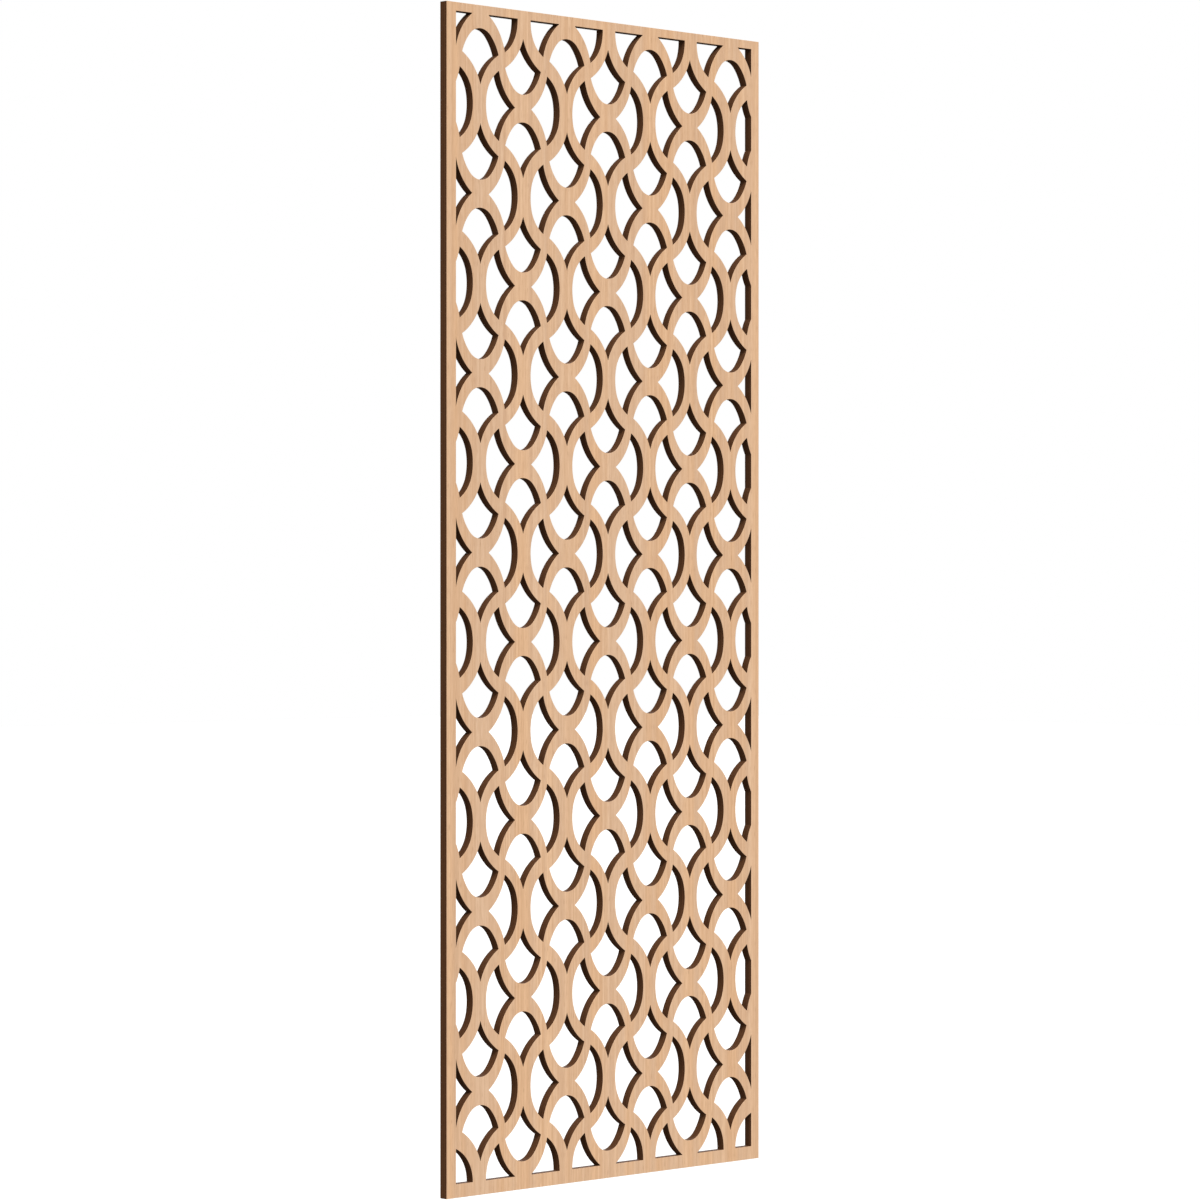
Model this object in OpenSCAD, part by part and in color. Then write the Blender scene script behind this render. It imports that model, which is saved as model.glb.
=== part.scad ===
// Fretwork wood panel: one tall sheet of veneered plywood, cut right through with linked rings.
// X runs across the panel, +Z is up, and the show face looks along -Y.
// The origin is on the back face, at the middle of the bottom edge.

/* [Panel] */
// Width of the sheet
panel_w = 912; // [500:0.1:1219]
// Height of the sheet
panel_h = 2400.3; // [1000:0.1:3048]

/* [Plywood] */
// Thickness of each face veneer
veneer_t = 0.6; // [0.4:0.05:1.5]
// Thickness of each of the five core plies
core_ply_t = 3.57; // [1.5:0.01:5]

/* [Border] */
// Solid border left of the fretwork, seen from the front
border_left = 25.5; // [12:0.5:80]
// Solid border right of the fretwork
border_right = 23.1; // [12:0.1:80]
// Solid border above the fretwork
border_top = 17.6; // [12:0.1:80]
// Solid border below the fretwork
border_bottom = 27.6; // [12:0.1:80]

/* [Ring pattern] */
// Distance between ring centres along a row
pitch_x = 243.8; // [225:0.1:280]
// Distance between ring centres up a column, with a second set of rings half way between
pitch_z = 362.1; // [350:0.1:420]
// How far one set of rings stands to the right of its even place, and the second set to the left
set_shift = 1.4; // [0:0.1:4]

/* [Eye openings at the two sides of a ring] */
// Half of the ring's inside width
ring_half_w = 103.8; // [95:0.1:108]
// Radius of the ring's side
side_r = 113.7; // [105:0.1:140]
// Half of the angle that the ring's side takes
side_angle = 11.6; // [6:0.1:16]
// Radius of the ring's shoulder
shoulder_r = 74.6; // [66:0.1:82]
// Radius of the two arcs that meet in the point of the eye
point_r = 114.8; // [100:0.1:125]
// How far past the ring's centre line those arcs have their centres
point_x = 45.2; // [38:0.1:52]
// How far above and below the ring's centre they have them
point_z = 92.6; // [85:0.1:100]

/* [Shield openings above and below a ring centre] */
// Distance from the ring's centre to the top of the arch
arch_gap = 28.3; // [20:0.1:36]
// Radius of the arch
arch_r = 38.8; // [34:0.1:44]
// Half of the angle that the arch takes
arch_angle = 47.4; // [40:0.1:54]
// Radius of the arch's legs
leg_r = 98.9; // [85:0.1:115]
// Radius of the strand that runs along the shield's pointed end
strand_r = 110.5; // [100:0.1:118]
// How far those arcs have their centres from the next ring's centre, sideways
strand_x = 16.2; // [10:0.1:22]
// How far they have them from it, up or down
strand_z = 6.8; // [2:0.1:12]

/* [Openings in the two bottom corners] */
// Radius of the round side of the opening that takes the place of a cut-off ring's eye there
corner_r = 76; // [60:0.5:95]

/* [Hidden] */
$fn = 96;

// Depth of one arc's edge inside the next arc where the two run on smoothly
overlap = 0.1;

open_w = panel_w - border_left - border_right;
open_h = panel_h - border_top - border_bottom;
open_x = (border_left - border_right) / 2;
open_z = border_bottom + open_h / 2;

// Rows of ring centres are half a pitch apart, and the opening ends on a row at the top and the bottom
half_rows = round(open_h / (pitch_z / 2));
top_row_z = open_z + half_rows * pitch_z / 4;
reach_x = ceil(open_w / pitch_x / 2) + 1;

// A ring's two shoulders meet its side at this height
side_z = side_r * sin(side_angle);
side_x = ring_half_w - side_r;
shoulder_x = side_x + (side_r - shoulder_r + overlap) * cos(side_angle);
shoulder_z = (side_r - shoulder_r + overlap) * sin(side_angle);

// An arch meets its legs at this height
arch_z = arch_gap + arch_r;
foot_z = arch_z - arch_r * cos(arch_angle);
leg_x = (leg_r - arch_r + overlap) * sin(arch_angle);
leg_z = arch_z + (leg_r - arch_r + overlap) * cos(arch_angle);

// The opening on the right of a ring's centre, pointed towards it
module eye() {
    difference() {
        intersection() {
            union() {
                intersection() {
                    translate([side_x, 0]) circle(side_r);
                    translate([0, -side_z]) square([2 * ring_half_w, 2 * side_z]);
                }
                for (way = [-1, 1]) translate([shoulder_x, way * shoulder_z]) circle(shoulder_r);
            }
            translate([0, -ring_half_w]) square([2 * ring_half_w, 2 * ring_half_w]);
        }
        for (way = [-1, 1]) translate([-point_x, way * point_z]) circle(point_r);
    }
}

// The opening above a ring's centre: a round arch at its foot, a point between the next rings at its top
module shield() {
    difference() {
        union() {
            translate([0, arch_z]) circle(arch_r);
            intersection() {
                translate([-leg_x, leg_z]) circle(leg_r);
                translate([leg_x, leg_z]) circle(leg_r);
                translate([-pitch_x / 2, foot_z]) square([pitch_x, pitch_z / 2 - foot_z]);
            }
        }
        for (way = [-1, 1])
            translate([way * (pitch_x / 2 - strand_x), pitch_z / 2 - strand_z]) circle(strand_r);
    }
}

// Does a box of the given half size about a point reach into the opening?
function reaches(x, z, half_x, half_z) =
    abs(x - open_x) < open_w / 2 + half_x && abs(z - open_z) < open_h / 2 + half_z;

// The four openings around one ring centre. In the lowest row a ring with its centre well outside the
// side border has a plain round opening in place of the eye, as wide from the centre as the eye.
module ring_openings(x, z, lowest) {
    plain = lowest && abs(x - open_x) > (open_w + ring_half_w) / 2;
    for (way = [-1, 1]) {
        if (reaches(x + way * ring_half_w / 2, z, ring_half_w / 2, ring_half_w)) {
            if (plain) translate([x + way * (ring_half_w - corner_r), z]) circle(corner_r);
            else translate([x, z]) rotate(way > 0 ? 0 : 180) eye();
        }
        if (reaches(x, z + way * (arch_gap + pitch_z / 2) / 2, arch_r, (pitch_z / 2 - arch_gap) / 2))
            translate([x, z]) rotate(way > 0 ? 0 : 180) shield();
    }
}

// Every opening of the panel, cut off straight along the border
module fretwork() {
    intersection() {
        translate([open_x - open_w / 2, open_z - open_h / 2]) square([open_w, open_h]);
        for (row = [0:half_rows], column = [-reach_x:reach_x])
            ring_openings(open_x + column * pitch_x + (row % 2 == 0 ? pitch_x / 2 + set_shift : -set_shift),
                          top_row_z - row * pitch_z / 2, row == half_rows);
    }
}

// One layer of the sheet: its back is at the depth given, and the layer goes forward from there
module layer(depth, thickness) {
    translate([0, -depth, 0]) rotate([90, 0, 0]) linear_extrude(thickness) difference() {
        translate([-panel_w / 2, 0]) square([panel_w, panel_h]);
        fretwork();
    }
}

module back_face_veneer() color([0.85, 0.70, 0.56]) layer(0, veneer_t);
module back_crossband() color([0.55, 0.38, 0.24]) layer(veneer_t, core_ply_t);
module back_inner_ply() color([0.48, 0.32, 0.19]) layer(veneer_t + core_ply_t, core_ply_t);
module centre_ply() color([0.55, 0.38, 0.24]) layer(veneer_t + 2 * core_ply_t, core_ply_t);
module front_inner_ply() color([0.48, 0.32, 0.19]) layer(veneer_t + 3 * core_ply_t, core_ply_t);
module front_crossband() color([0.55, 0.38, 0.24]) layer(veneer_t + 4 * core_ply_t, core_ply_t);
module front_face_veneer() color([0.87, 0.72, 0.58]) layer(veneer_t + 5 * core_ply_t, veneer_t);

front_face_veneer();
front_crossband();
front_inner_ply();
centre_ply();
back_inner_ply();
back_crossband();
back_face_veneer();
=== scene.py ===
import math

import bpy
import numpy as np
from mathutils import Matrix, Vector
from mathutils.geometry import delaunay_2d_cdt


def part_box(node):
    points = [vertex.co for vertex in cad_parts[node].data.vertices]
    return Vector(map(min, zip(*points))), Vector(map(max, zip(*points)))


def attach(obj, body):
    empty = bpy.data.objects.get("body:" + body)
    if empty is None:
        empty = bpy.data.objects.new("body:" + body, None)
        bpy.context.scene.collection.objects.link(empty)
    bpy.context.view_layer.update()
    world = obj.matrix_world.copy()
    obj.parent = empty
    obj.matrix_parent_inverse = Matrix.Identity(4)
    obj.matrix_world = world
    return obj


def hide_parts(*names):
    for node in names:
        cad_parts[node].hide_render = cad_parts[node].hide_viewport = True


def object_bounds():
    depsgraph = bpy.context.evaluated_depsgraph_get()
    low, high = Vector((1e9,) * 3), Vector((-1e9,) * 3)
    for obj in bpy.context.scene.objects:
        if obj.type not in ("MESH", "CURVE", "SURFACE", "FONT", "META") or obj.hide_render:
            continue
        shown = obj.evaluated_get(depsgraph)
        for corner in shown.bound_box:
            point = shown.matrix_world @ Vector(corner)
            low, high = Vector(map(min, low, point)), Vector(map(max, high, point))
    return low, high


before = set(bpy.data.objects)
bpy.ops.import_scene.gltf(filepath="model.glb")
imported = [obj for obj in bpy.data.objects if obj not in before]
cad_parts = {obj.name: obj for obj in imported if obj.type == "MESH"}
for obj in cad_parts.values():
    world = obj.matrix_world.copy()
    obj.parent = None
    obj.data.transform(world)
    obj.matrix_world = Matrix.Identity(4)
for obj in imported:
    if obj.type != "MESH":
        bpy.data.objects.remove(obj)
cad_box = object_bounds()

# The view: the camera stands level with the middle of the panel, off to its left, and looks at it under
# a turn of 44.7 degrees through a long lens. Its place is worked out from the panel's near edge, which is
# so far ahead of it and so far left of the middle of its view.
view_turn = math.radians(44.7)
near_edge_depth = 8.657
near_edge_left = 0.307
lens_length = 129.7
sensor_width = 36.0
farthest_seen = 200.0

front_low, front_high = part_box("front_face_veneer")
near_edge = np.array([front_low.x, front_low.y])
view_ahead = np.array([math.sin(view_turn), math.cos(view_turn)])
view_right = np.array([math.cos(view_turn), -math.sin(view_turn)])
camera_place = near_edge - near_edge_depth * view_ahead + near_edge_left * view_right

camera_data = bpy.data.cameras.new("camera")
camera_data.lens = lens_length
camera_data.sensor_width = sensor_width
camera_data.clip_end = farthest_seen
camera = bpy.data.objects.new("camera", camera_data)
camera.location = (*camera_place, (front_low.z + front_high.z) / 2)
camera.rotation_euler = (math.radians(90), 0, -view_turn)
bpy.context.scene.collection.objects.link(camera)
bpy.context.scene.camera = camera


# The studio: a wide soft lamp high in front of the panel, weaker ones at its left and behind it on its
# right, and even light from all round. The room and the floor are plain white where they are seen, and the
# floor keeps the panel's shadow.
room_light = 0.36
key_light, key_from, key_softness = 1.02, (-0.2, -0.62, 0.76), math.radians(28)
side_light, side_from, side_softness = 0.26, (-0.96, -0.14, 0.24), math.radians(20)
back_light, back_from, back_softness = 0.62, (0.5, 0.8, 0.22), math.radians(28)
floor_drop = 0.5
floor_half_size = 40.0
floor_seen = 0.93
floor_bounce = 0.2
bpy.context.scene.view_settings.view_transform = "Standard"


def put(tree, kind, values=None, **settings):
    """Add a shader node. Settings are its own properties, and values its sockets' numbers or links."""
    made = tree.nodes.new(kind)
    for name, value in settings.items():
        setattr(made, name, value)
    for name, value in (values or {}).items():
        if isinstance(value, bpy.types.NodeSocket):
            tree.links.new(value, made.inputs[name])
        else:
            made.inputs[name].default_value = value
    return made


world = bpy.data.worlds.new("white_room")
world.use_nodes = True
room = world.node_tree
room.nodes.clear()
ray = put(room, "ShaderNodeLightPath")
seen = put(room, "ShaderNodeMath", {0: ray.outputs["Is Camera Ray"], 1: ray.outputs["Is Glossy Ray"]},
           operation="MAXIMUM")
seen = put(room, "ShaderNodeMath", {0: seen.outputs[0], 1: ray.outputs["Is Transmission Ray"]},
           operation="MAXIMUM")
lit_room = put(room, "ShaderNodeBackground", {"Color": (1, 1, 1, 1), "Strength": room_light})
white_room = put(room, "ShaderNodeBackground", {"Color": (1, 1, 1, 1), "Strength": 1.0})
both_rooms = put(room, "ShaderNodeMixShader",
                 {0: seen.outputs[0], 1: lit_room.outputs[0], 2: white_room.outputs[0]})
put(room, "ShaderNodeOutputWorld", {"Surface": both_rooms.outputs[0]})
bpy.context.scene.world = world

for name, light, light_from, softness in (("key_lamp", key_light, key_from, key_softness),
                                          ("side_lamp", side_light, side_from, side_softness),
                                          ("back_lamp", back_light, back_from, back_softness)):
    lamp_data = bpy.data.lights.new(name, "SUN")
    lamp_data.energy = light * math.pi
    lamp_data.angle = softness
    lamp = bpy.data.objects.new(name, lamp_data)
    lamp.rotation_euler = Vector(light_from).to_track_quat("Z", "Y").to_euler()
    bpy.context.scene.collection.objects.link(lamp)

floor_finish = bpy.data.materials.new("floor_white")
floor_finish.use_nodes = True
tree = floor_finish.node_tree
tree.nodes.clear()
ray = put(tree, "ShaderNodeLightPath")
pale = put(tree, "ShaderNodeMapRange",
           {"Value": ray.outputs["Is Camera Ray"], "To Min": floor_bounce, "To Max": floor_seen})
cover = put(tree, "ShaderNodeBsdfDiffuse", {"Color": pale.outputs[0]})
put(tree, "ShaderNodeOutputMaterial", {"Surface": cover.outputs[0]})

floor_mesh = bpy.data.meshes.new("floor")
floor_level = cad_box[0].z - floor_drop
floor_mesh.from_pydata([(x * floor_half_size, y * floor_half_size, floor_level)
                        for x, y in ((-1, -1), (1, -1), (1, 1), (-1, 1))], [], [(0, 1, 2, 3)])
floor_mesh.materials.append(floor_finish)
floor = bpy.data.objects.new("floor", floor_mesh)
bpy.context.scene.collection.objects.link(floor)


# Front face veneer: the thin show layer of the plywood sheet, pale wood whose grain runs up the panel.
# It is glued on the ply behind it before the sheet is cut through, and its cut edges are lightly eased.
# The cut is the same in all seven layers: linked rings, whose openings are drawn with circular arcs.
border_left, border_right = 0.0255, 0.0231
border_top, border_bottom = 0.0176, 0.0276
pitch_x, pitch_z = 0.2438, 0.3621
set_shift = 0.0014
ring_half_w = 0.1038
side_r, side_angle = 0.1137, math.radians(11.6)
shoulder_r = 0.0746
point_r, point_x, point_z = 0.1148, 0.0452, 0.0926
arch_gap, arch_r, arch_angle = 0.0283, 0.0388, math.radians(47.4)
leg_r = 0.0989
strand_r, strand_x, strand_z = 0.1105, 0.0162, 0.0068
corner_r = 0.076
longest_chord = 0.004
longest_side = 0.1
nearest_points = 0.00005
ease = 0.0003


def arc(centre, radius, start, end):
    """Points on a circular arc without its last one.

    x = centre x + radius cos t and z = centre z + radius sin t, for t from start to end in equal steps.
    """
    steps = max(2, math.ceil(abs(end - start) * radius / longest_chord))
    t = np.linspace(start, end, steps, endpoint=False)
    return np.stack([centre[0] + radius * np.cos(t), centre[1] + radius * np.sin(t)], axis=1)


def crossing(centre_a, radius_a, centre_b, radius_b):
    """The point where two circles cross that lies to the right of the way from centre a to centre b.

    It is (d^2 + ra^2 - rb^2) / 2d along the way, where d is the distance of the centres, and from there
    sideways by what ra leaves.
    """
    way = np.subtract(centre_b, centre_a)
    d = np.hypot(*way)
    along = (d**2 + radius_a**2 - radius_b**2) / (2 * d)
    aside = math.sqrt(radius_a**2 - along**2)
    return centre_a + (along * way + aside * np.array([way[1], -way[0]])) / d


def bearing(centre, point):
    """The direction from a centre to a point: atan2 of their distances in z and x."""
    return math.atan2(point[1] - centre[1], point[0] - centre[0])


def both_halves(half, flip):
    """A closed outline from a half that starts and ends on the mirror line: the half, then its mirror."""
    return np.concatenate([half, half[-2:0:-1] * flip])


def eye():
    """The opening on the right of a ring's centre: the ring's side and shoulders, then two hollow arcs."""
    side = np.array([ring_half_w - side_r, 0])
    shoulder = side + (side_r - shoulder_r) * np.array([math.cos(side_angle), math.sin(side_angle)])
    hollow = np.array([-point_x, point_z])
    horn = crossing(shoulder, shoulder_r, hollow, point_r)
    point = np.array([math.sqrt(point_r**2 - point_z**2) - point_x, 0])
    half = np.concatenate([
        arc(side, side_r, 0, side_angle),
        arc(shoulder, shoulder_r, side_angle, bearing(shoulder, horn)),
        arc(hollow, point_r, bearing(hollow, horn), bearing(hollow, point)),
        [point],
    ])
    return both_halves(half, (1, -1))


def shield():
    """The opening above a ring's centre: a round arch, its legs, and two hollow arcs up to a point."""
    arch = np.array([0, arch_gap + arch_r])
    leg = arch + (leg_r - arch_r) * np.array([-math.sin(arch_angle), math.cos(arch_angle)])
    strand = np.array([pitch_x / 2 - strand_x, pitch_z / 2 - strand_z])
    heel = crossing(leg, leg_r, strand, strand_r)
    tip = np.array([0, strand[1] - math.sqrt(strand_r**2 - strand[0]**2)])
    foot = -math.pi / 2
    half = np.concatenate([
        arc(arch, arch_r, foot, foot + arch_angle),
        arc(leg, leg_r, foot + arch_angle, bearing(leg, heel)),
        arc(strand, strand_r, bearing(strand, heel), bearing(strand, tip)),
        [tip],
    ])
    return both_halves(half, (-1, 1))


def corner_opening():
    """What takes the place of an eye in the two bottom corners: a circle that reaches as far to the side."""
    return arc((ring_half_w - corner_r, 0), corner_r, 0, 2 * math.pi)


def cut_straight(outline, axis, limit, way):
    """What is left of an outline where way * (coordinate - limit) is 0 or less.

    An edge from p to q that crosses the line gives the corner p + (q - p) * out_p / (out_p - out_q).
    """
    out = way * (outline[:, axis] - limit)
    out_next = np.roll(out, -1)
    crosses = (out > 0) != (out_next > 0)
    share = np.where(crosses, out / np.where(crosses, out - out_next, 1), 0)
    corners = outline + (np.roll(outline, -1, axis=0) - outline) * share[:, None]
    both = np.stack([outline, corners], axis=1).reshape(-1, 2)
    return both[np.stack([out <= 0, crosses], axis=1).ravel()]


def cleaned(outline):
    """An outline without the points that lie on the point before them."""
    return outline[np.hypot(*(outline - np.roll(outline, 1, axis=0)).T) > nearest_points]


def openings():
    """Every opening of the panel: four round each ring centre, cut off straight along the border.

    Rows of rings stand half a pitch apart. The even rows stand half a pitch and a small shift to the
    right, and the odd rows the same small shift to the left. In the lowest row a ring whose centre lies
    well outside the border has the corner opening instead of its eye.
    """
    low = np.array([front_low.x + border_left, front_low.z + border_bottom])
    high = np.array([front_high.x - border_right, front_high.z - border_top])
    middle = (low + high) / 2
    half_rows = round((high[1] - low[1]) / (pitch_z / 2))
    reach = math.ceil((high[0] - low[0]) / pitch_x / 2) + 1
    found = []
    for row in range(half_rows + 1):
        shift = pitch_x / 2 + set_shift if row % 2 == 0 else -set_shift
        centre_z = middle[1] + (half_rows / 2 - row) * pitch_z / 2
        for column in range(-reach, reach + 1):
            centre = np.array([middle[0] + column * pitch_x + shift, centre_z])
            outside = max(low[0] - centre[0], centre[0] - high[0])
            at_side = corner_opening() if row == half_rows and outside > ring_half_w / 2 else eye()
            for outline in (at_side, shield(), -at_side, -shield()):
                outline = outline + centre
                for axis in (0, 1):
                    outline = cut_straight(outline, axis, low[axis], -1)
                    outline = cut_straight(outline, axis, high[axis], 1)
                outline = cleaned(outline)
                if len(outline) > 2:
                    found.append(outline)
    return found


def sheet_edge():
    """The sheet's own outline: its four corners and even steps between them, a + t (b - a)."""
    corners = np.array([(front_low.x, front_low.z), (front_high.x, front_low.z),
                        (front_high.x, front_high.z), (front_low.x, front_high.z)])
    sides = []
    for a, b in zip(corners, np.roll(corners, -1, axis=0)):
        t = np.linspace(0, 1, math.ceil(np.hypot(*(b - a)) / longest_side), endpoint=False)
        sides.append(a + t[:, None] * (b - a))
    return np.concatenate(sides)


outlines = [sheet_edge(), *openings()]
cut_points = np.concatenate(outlines)
loop_of = np.repeat(np.arange(len(outlines)), [len(outline) for outline in outlines])
loop_start = np.searchsorted(loop_of, loop_of)
loop_size = np.bincount(loop_of)[loop_of]
own = np.arange(len(cut_points))
following = loop_start + (own - loop_start + 1) % loop_size
before = loop_start + (own - loop_start - 1) % loop_size
# The wood lies on the left of the sheet's edge, and on the right of an opening's
wood_side = np.where(loop_of == 0, 1, -1)[:, None]


def towards_wood():
    """How far each point of the cut moves for an inset of 1: (n + m) / (1 + n . m).

    n and m are the unit normals, pointing into the wood, of the two edges that meet there.
    """
    edge = cut_points[following] - cut_points
    normal = np.stack([-edge[:, 1], edge[:, 0]], axis=1) * wood_side
    normal /= np.hypot(*normal.T)[:, None]
    other = normal[before]
    return (normal + other) / (1 + (normal * other).sum(axis=1))[:, None]


def wood_between_cuts():
    """Triangles of the sheet's face: the constrained triangulation, less what lies in an opening.

    The triangulation gives its faces third and the loops round each face last. The wood's have none but
    the sheet's edge round them.
    """
    inside_loops, too_near = 1, nearest_points / 100
    loops = [own[loop_of == k].tolist() for k in range(len(outlines))]
    made = delaunay_2d_cdt([Vector(p) for p in cut_points], [], loops, inside_loops, too_near, True)
    _, _, faces, _, _, loops_round = made
    return np.array([face for face, round_it in zip(faces, loops_round) if round_it == [0]])


inset_way = towards_wood()
face_triangles = wood_between_cuts()
map_margin = 0.002
row_margin = 0.15
sharpest_smooth = math.radians(15)


def lay_flat(mesh, rings, front_room, back_room, wall_room, row_length):
    """The map through which a finish can be kept as a picture, so that the narrow walls get enough of it.

    Each of the two faces fills its room of the unit square, from one height to another, as it looks from
    outside: u runs with x on the front and against it on the back, and v with z. The walls are cut into
    rows of equal length, laid one above the other in their room: u is a wall's way along its row, and v is
    the row's number plus the share of the way across, which runs forward on the sheet's edge and back in
    the openings. Margins keep the rows apart, and all of it off the square's sides.
    """
    low, high = np.array([front_low.x, front_low.z]), np.array([front_high.x, front_high.z])
    flat = ((cut_points - low) / (high - low))[face_triangles]
    corners = []
    for side, (u_from, u_way), (bottom, top) in zip((flat, flat[:, ::-1]), ((0, 1), (1, -1)),
                                                    (front_room, back_room)):
        u = u_from + u_way * side[..., 0]
        v = bottom + (top - bottom) * side[..., 1]
        corners.append(np.stack([u, v], axis=2).reshape(-1, 2))
    length = np.hypot(*(cut_points[following] - cut_points).T)
    run = np.cumsum(length) - length
    row = np.floor(run / row_length)
    first = (run - row * row_length) / (row_length + length.max())
    last = first + length / (row_length + length.max())
    start, end = np.where(loop_of == 0, (first, last), (last, first))
    u = np.tile(np.stack([start, end, end, start], axis=1), (rings, 1))
    near, far = row_margin, 1 - row_margin
    across = np.where(loop_of[:, None] == 0, (near, near, far, far), (far, far, near, near))
    v = (row[:, None] + across + (row.max() + 1) * np.arange(rings)[:, None, None]).reshape(-1, 4)
    v /= rings * (row.max() + 1)
    bottom, top = wall_room
    corners.append(np.stack([u, bottom + v * (top - bottom)], axis=2).reshape(-1, 2))
    places = map_margin + (1 - 2 * map_margin) * np.concatenate(corners)
    mesh.uv_layers.new(name="OFBake").uv.foreach_set("vector", places.astype(np.float32).ravel())


def cut_layer(name, stations, finishes, *layout):
    """One layer of the sheet: the cut's outline carried through a profile of stations, back to front.

    A station is (inset, depth): its ring of points is the outline moved into the wood by the inset, at
    y = depth. Quads join each ring to the next one, and triangles close the first and the last. The
    straight cut, where the inset stays 0, gets the last finish, and all the rest the first one. What
    follows the finishes says how lay_flat lays the layer out.
    """
    rings = []
    for inset, depth in stations:
        at = cut_points + inset * inset_way
        rings.append(np.stack([at[:, 0], np.full(len(at), depth), at[:, 1]], axis=1))
    last = (len(stations) - 1) * len(cut_points)
    start = np.where(loop_of == 0, own, following)
    end = np.where(loop_of == 0, following, own)
    steps = np.arange(len(stations) - 1)[:, None] * len(cut_points)
    walls = np.stack([steps + start, steps + end, steps + len(cut_points) + end,
                      steps + len(cut_points) + start], axis=2)
    faces = [*(face_triangles + last).tolist(), *face_triangles[:, ::-1].tolist(),
             *walls.reshape(-1, 4).tolist()]
    mesh = bpy.data.meshes.new(name)
    mesh.from_pydata(np.concatenate(rings).tolist(), [], faces)
    slots = np.zeros(len(faces), np.int32)
    straight = [inset == next_inset for (inset, _), (next_inset, _) in zip(stations, stations[1:])]
    slots[2 * len(face_triangles):] = np.repeat(straight, len(own)) * (len(finishes) - 1)
    mesh.polygons.foreach_set("material_index", slots)
    for finish in finishes:
        mesh.materials.append(finish)
    lay_flat(mesh, len(stations) - 1, *layout)
    mesh.shade_smooth()
    mesh.set_sharp_from_angle(angle=sharpest_smooth)
    piece = bpy.data.objects.new(name, mesh)
    bpy.context.scene.collection.objects.link(piece)
    return piece


def seen_colour(red, green, blue):
    """A colour given as it looks on a screen, 0 to 255, as the linear colour that a shader takes."""
    part = np.array([red, green, blue]) / 255
    linear = np.where(part <= 0.04045, part / 12.92, ((part + 0.055) / 1.055) ** 2.4)
    return (*linear.tolist(), 1)


def blend_colours(tree, factor, first, second):
    """A colour mix, first at factor 0 and second at 1. The node's colour sockets are 6 and 7, and 2 out."""
    return put(tree, "ShaderNodeMix", {0: factor, 6: first, 7: second}, data_type="RGBA").outputs[2]


def wood_fibres():
    """The grain of straight wood whose fibres run along Z, as a group.

    Each pattern is noise on a place squeezed along Z: broad bands of hue, narrow streaks that run the whole
    height, flecks three centimetres long, short fibres and pores. A slow waver moves the place sideways as
    it goes up.
    """
    waver_per_metre, waver_reach = (5, 5, 1.6), 0.0008
    group = bpy.data.node_groups.new("wood_fibres", "ShaderNodeTree")
    sockets = group.interface
    sockets.new_socket("Place", in_out="INPUT", socket_type="NodeSocketVector")
    for name, value in (("Bands per Metre", 32), ("Streaks per Metre", 180), ("Flecks per Metre", 280),
                        ("Fibres per Metre", 1100)):
        sockets.new_socket(name, in_out="INPUT", socket_type="NodeSocketFloat").default_value = value
    for name in ("Bands", "Streaks", "Flecks", "Fibres", "Pores"):
        sockets.new_socket(name, in_out="OUTPUT", socket_type="NodeSocketFloat")
    given = put(group, "NodeGroupInput")
    slow = put(group, "ShaderNodeVectorMath", {0: given.outputs["Place"], 1: waver_per_metre},
               operation="MULTIPLY")
    waver = put(group, "ShaderNodeTexNoise", {"Vector": slow.outputs[0], "Scale": 1, "Detail": 1})
    waver = put(group, "ShaderNodeMapRange",
                {"Value": waver.outputs["Fac"], "To Min": -waver_reach, "To Max": waver_reach})
    waver = put(group, "ShaderNodeCombineXYZ", {"X": waver.outputs[0]})
    place = put(group, "ShaderNodeVectorMath", {0: given.outputs["Place"], 1: waver.outputs[0]},
                operation="ADD")

    def grain(name, squeeze, detail, low, high):
        """Noise with so many waves a metre across the grain, and squeeze times fewer along it.

        What lies between low and high is spread over 0 to 1.
        """
        along = put(group, "ShaderNodeMath", {0: given.outputs[name], 1: squeeze}, operation="DIVIDE")
        scale = put(group, "ShaderNodeCombineXYZ",
                    {"X": given.outputs[name], "Y": given.outputs[name], "Z": along.outputs[0]})
        at = put(group, "ShaderNodeVectorMath", {0: place.outputs[0], 1: scale.outputs[0]},
                 operation="MULTIPLY")
        made = put(group, "ShaderNodeTexNoise",
                   {"Vector": at.outputs[0], "Scale": 1, "Detail": detail, "Roughness": 0.6})
        made = put(group, "ShaderNodeMapRange",
                   {"Value": made.outputs["Fac"], "From Min": low, "From Max": high})
        return made.outputs[0]

    put(group, "NodeGroupOutput",
        {"Bands": grain("Bands per Metre", squeeze=120, detail=1, low=0.35, high=0.65),
         "Streaks": grain("Streaks per Metre", squeeze=450, detail=2, low=0.3, high=0.7),
         "Flecks": grain("Flecks per Metre", squeeze=9, detail=1, low=0.3, high=0.7),
         "Fibres": grain("Fibres per Metre", squeeze=45, detail=2, low=0.3, high=0.7),
         "Pores": grain("Fibres per Metre", squeeze=26, detail=0, low=0.66, high=0.78)})
    return group


wood_grain = wood_fibres()


def darkened(tree, colour, mask, share, other):
    """A colour moved towards another one where a mask is 1, by so much of the way."""
    part = put(tree, "ShaderNodeMath", {0: mask, 1: share}, operation="MULTIPLY")
    return blend_colours(tree, part.outputs[0], colour, other)


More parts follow.
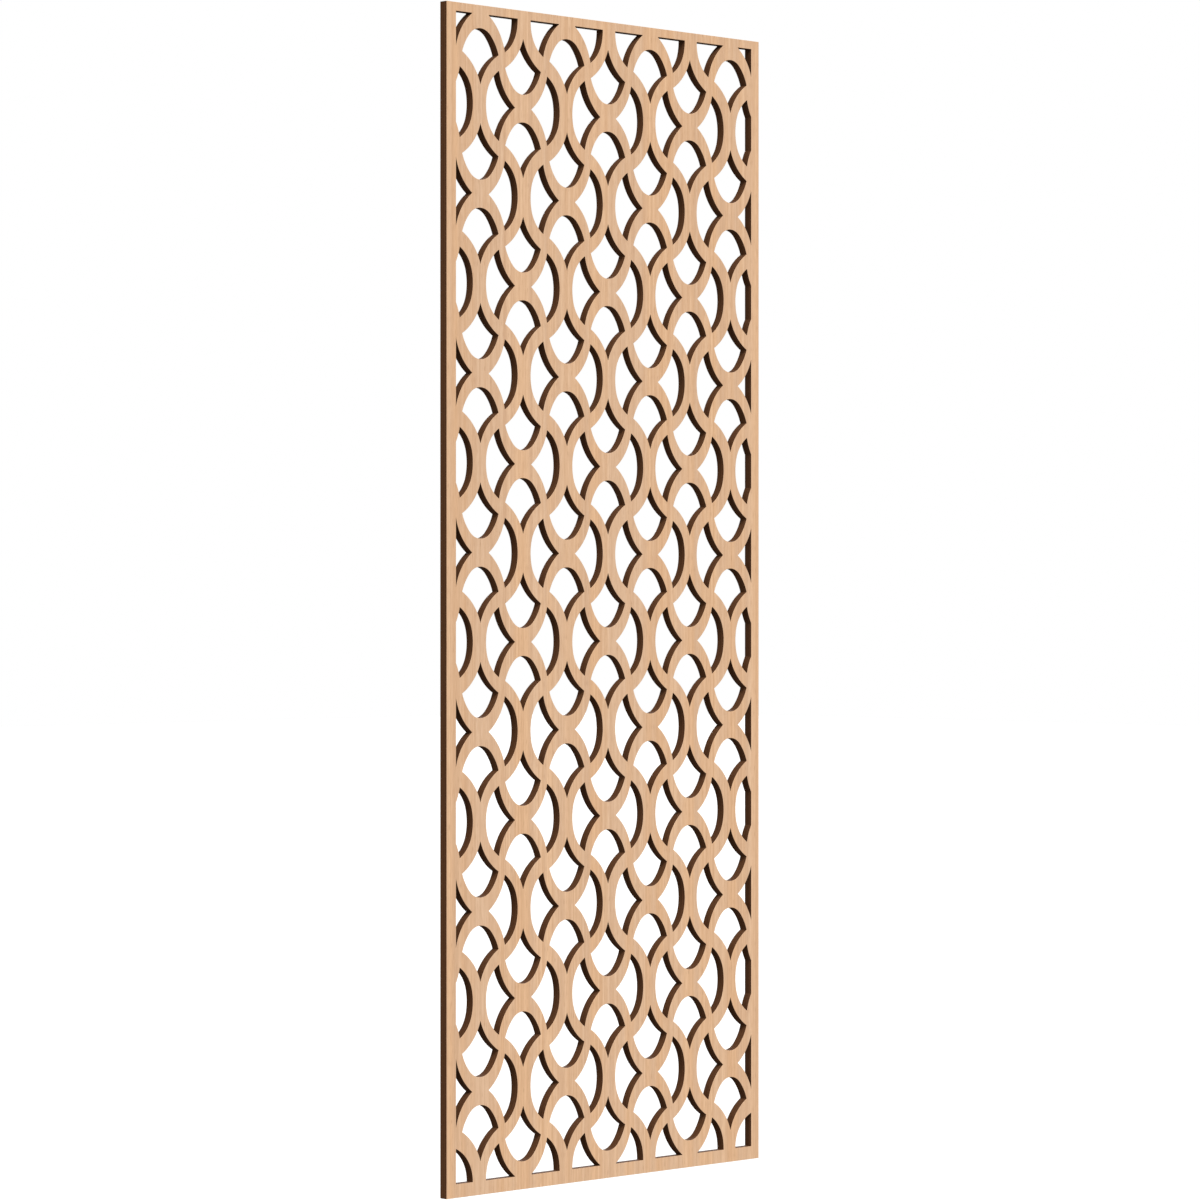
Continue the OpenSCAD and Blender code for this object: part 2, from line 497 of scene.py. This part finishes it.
def face_veneer():
    """Pale straight-grained veneer under a matt clear finish.

    Its hue turns from warm to cool with the bands, and its tone from deep to light with the streaks.
    Flecks, fibres and pores darken it. The fibres also make it rougher and stand up a little, and the
    pores are sunk.
    """
    light_warm, light_cool = seen_colour(244, 202, 161), seen_colour(237, 201, 167)
    deep_warm, deep_cool = seen_colour(223, 178, 137), seen_colour(216, 177, 143)
    fleck, fibre, pore = seen_colour(208, 164, 125), seen_colour(194, 150, 112), seen_colour(158, 112, 78)
    smoothest, roughest = 0.52, 0.66
    relief_height = 0.00006
    finish = bpy.data.materials.new("face_veneer")
    finish.use_nodes = True
    tree = finish.node_tree
    tree.nodes.clear()
    place = put(tree, "ShaderNodeTexCoord")
    grain = put(tree, "ShaderNodeGroup", {"Place": place.outputs["Object"]}, node_tree=wood_grain).outputs
    light = blend_colours(tree, grain["Bands"], light_warm, light_cool)
    deep = blend_colours(tree, grain["Bands"], deep_warm, deep_cool)
    wood = blend_colours(tree, grain["Streaks"], deep, light)
    wood = darkened(tree, wood, grain["Flecks"], share=0.34, other=fleck)
    wood = darkened(tree, wood, grain["Fibres"], share=0.2, other=fibre)
    wood = darkened(tree, wood, grain["Pores"], share=0.4, other=pore)
    rough = put(tree, "ShaderNodeMapRange",
                {"Value": grain["Fibres"], "To Min": smoothest, "To Max": roughest})
    relief = put(tree, "ShaderNodeMath", {0: grain["Fibres"], 1: grain["Pores"]}, operation="SUBTRACT")
    bump = put(tree, "ShaderNodeBump",
               {"Height": relief.outputs[0], "Distance": relief_height, "Strength": 0.5})
    shader = put(tree, "ShaderNodeBsdfPrincipled",
                 {"Base Color": wood, "Roughness": rough.outputs[0], "Normal": bump.outputs[0],
                  "Specular IOR Level": 0.25})
    put(tree, "ShaderNodeOutputMaterial", {"Surface": shader.outputs[0]})
    return finish


def glue_lines():
    """The thin dark lines of glue between the plies, as a group.

    A place is as far from the nearest of them as its depth behind the front veneer, folded to and fro over
    half a ply. A little noise makes the lines waver.
    """
    ply_low, ply_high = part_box("front_crossband")
    wavers_per_metre, waver_reach = 90, 0.00025
    dark_to, gone_from = 0.00008, 0.00022
    group = bpy.data.node_groups.new("glue_lines", "ShaderNodeTree")
    group.interface.new_socket("Place", in_out="INPUT", socket_type="NodeSocketVector")
    group.interface.new_socket("Glue", in_out="OUTPUT", socket_type="NodeSocketFloat")
    given = put(group, "NodeGroupInput")
    waver = put(group, "ShaderNodeTexNoise",
                {"Vector": given.outputs["Place"], "Scale": wavers_per_metre, "Detail": 1})
    waver = put(group, "ShaderNodeMapRange",
                {"Value": waver.outputs["Fac"], "To Min": -waver_reach, "To Max": waver_reach})
    depth = put(group, "ShaderNodeSeparateXYZ", {"Vector": given.outputs["Place"]})
    depth = put(group, "ShaderNodeMath", {0: depth.outputs["Y"], 1: waver.outputs[0]}, operation="ADD")
    depth = put(group, "ShaderNodeMath", {0: depth.outputs[0], 1: ply_low.y}, operation="SUBTRACT")
    away = put(group, "ShaderNodeMath", {0: depth.outputs[0], 1: (ply_high.y - ply_low.y) / 2},
               operation="PINGPONG")
    line = put(group, "ShaderNodeMapRange", {"Value": away.outputs[0], "From Min": dark_to,
                                             "From Max": gone_from, "To Min": 1.0, "To Max": 0.0})
    put(group, "NodeGroupOutput", {"Glue": line.outputs[0]})
    return group


ply_joints = glue_lines()


def cut_edge(name, tone, along_x):
    """The cut edge of a layer, sealed dark brown: its fibres still show, and the glue lines beside it.

    The grain is solid through the layer, so that it runs along the cut here and shows its ends there. Its
    colours are shares of the tone, which is given as it looks on a screen.
    """
    streak_dark, streak_light = (0.9, 0.88, 0.86), (1.12, 1.13, 1.14)
    fibre_dark, glue_dark = (0.6, 0.56, 0.52), (0.5, 0.46, 0.44)
    relief_height = 0.00008
    finish = bpy.data.materials.new(name)
    finish.use_nodes = True
    tree = finish.node_tree
    tree.nodes.clear()
    place = put(tree, "ShaderNodeTexCoord")
    turned = put(tree, "ShaderNodeMapping", {"Vector": place.outputs["Object"],
                                             "Rotation": (0, math.radians(90) if along_x else 0, 0)})
    grain = put(tree, "ShaderNodeGroup", {"Place": turned.outputs[0], "Streaks per Metre": 420,
                                          "Fibres per Metre": 1600}, node_tree=wood_grain).outputs
    joints = put(tree, "ShaderNodeGroup", {"Place": place.outputs["Object"]}, node_tree=ply_joints).outputs
    wood = blend_colours(tree, grain["Streaks"], seen_colour(*np.multiply(tone, streak_dark)),
                         seen_colour(*np.multiply(tone, streak_light)))
    wood = darkened(tree, wood, grain["Fibres"], share=0.2, other=seen_colour(*np.multiply(tone, fibre_dark)))
    wood = darkened(tree, wood, joints["Glue"], share=0.4, other=seen_colour(*np.multiply(tone, glue_dark)))
    relief = put(tree, "ShaderNodeMath", {0: grain["Fibres"], 1: joints["Glue"]}, operation="SUBTRACT")
    bump = put(tree, "ShaderNodeBump",
               {"Height": relief.outputs[0], "Distance": relief_height, "Strength": 0.5})
    shader = put(tree, "ShaderNodeBsdfPrincipled",
                 {"Base Color": wood, "Roughness": 0.8, "Normal": bump.outputs[0],
                  "Specular IOR Level": 0.05})
    put(tree, "ShaderNodeOutputMaterial", {"Surface": shader.outputs[0]})
    return finish


face_wood = face_veneer()
veneer_edge = cut_edge("veneer_edge", tone=(87, 57, 36), along_x=False)
# The easing is a quarter of a circle, with one point between its ends
bend = ease * (1 - math.cos(math.radians(45)))
eased_front = [(0, front_high.y), (0, front_low.y + ease), (bend, front_low.y + bend), (ease, front_low.y)]
shown_room, glued_room, thin_wall_room, thin_wall_row = (0, 0.62), (0.63, 0.79), (0.8, 1), 3.0
front_veneer = cut_layer("front_veneer", eased_front, [face_wood, veneer_edge],
                         shown_room, glued_room, thin_wall_room, thin_wall_row)
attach(front_veneer, "root")
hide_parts("front_face_veneer")


# The five core plies, glued with their grain crossed, up the panel in two and across it in three. All that
# shows of them is the cut edge, sealed dark brown, on the sheet's own edges and in every opening.
cross_edge = cut_edge("cross_ply_edge", tone=(85, 55, 34), along_x=True)
long_edge = cut_edge("long_ply_edge", tone=(90, 59, 37), along_x=False)
core = (("front_crossband", cross_edge, "crossband"), ("front_inner_ply", long_edge, "long_grain_ply"),
        ("centre_ply", cross_edge, "crossband"), ("back_inner_ply", long_edge, "long_grain_ply"),
        ("back_crossband", cross_edge, "crossband"))
ply_front_room, ply_back_room, ply_wall_room, ply_wall_row = (0, 0.19), (0.2, 0.39), (0.4, 1), 1.0
for node, finish, slot in core:
    ply_low, ply_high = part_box(node)
    ply = cut_layer("core_" + node, [(0, ply_high.y), (0, ply_low.y)], [finish],
                    ply_front_room, ply_back_room, ply_wall_room, ply_wall_row)
    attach(ply, "root")
    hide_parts(node)


# Back face veneer: the same pale veneer on the back, so that the sheet stays flat, with eased edges too.
back_low, back_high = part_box("back_face_veneer")
eased_back = [(ease, back_high.y), (bend, back_high.y - bend), (0, back_high.y - ease), (0, back_low.y)]
back_veneer = cut_layer("back_veneer", eased_back, [face_wood, veneer_edge],
                        glued_room, shown_room, thin_wall_room, thin_wall_row)
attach(back_veneer, "root")
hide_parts("back_face_veneer")
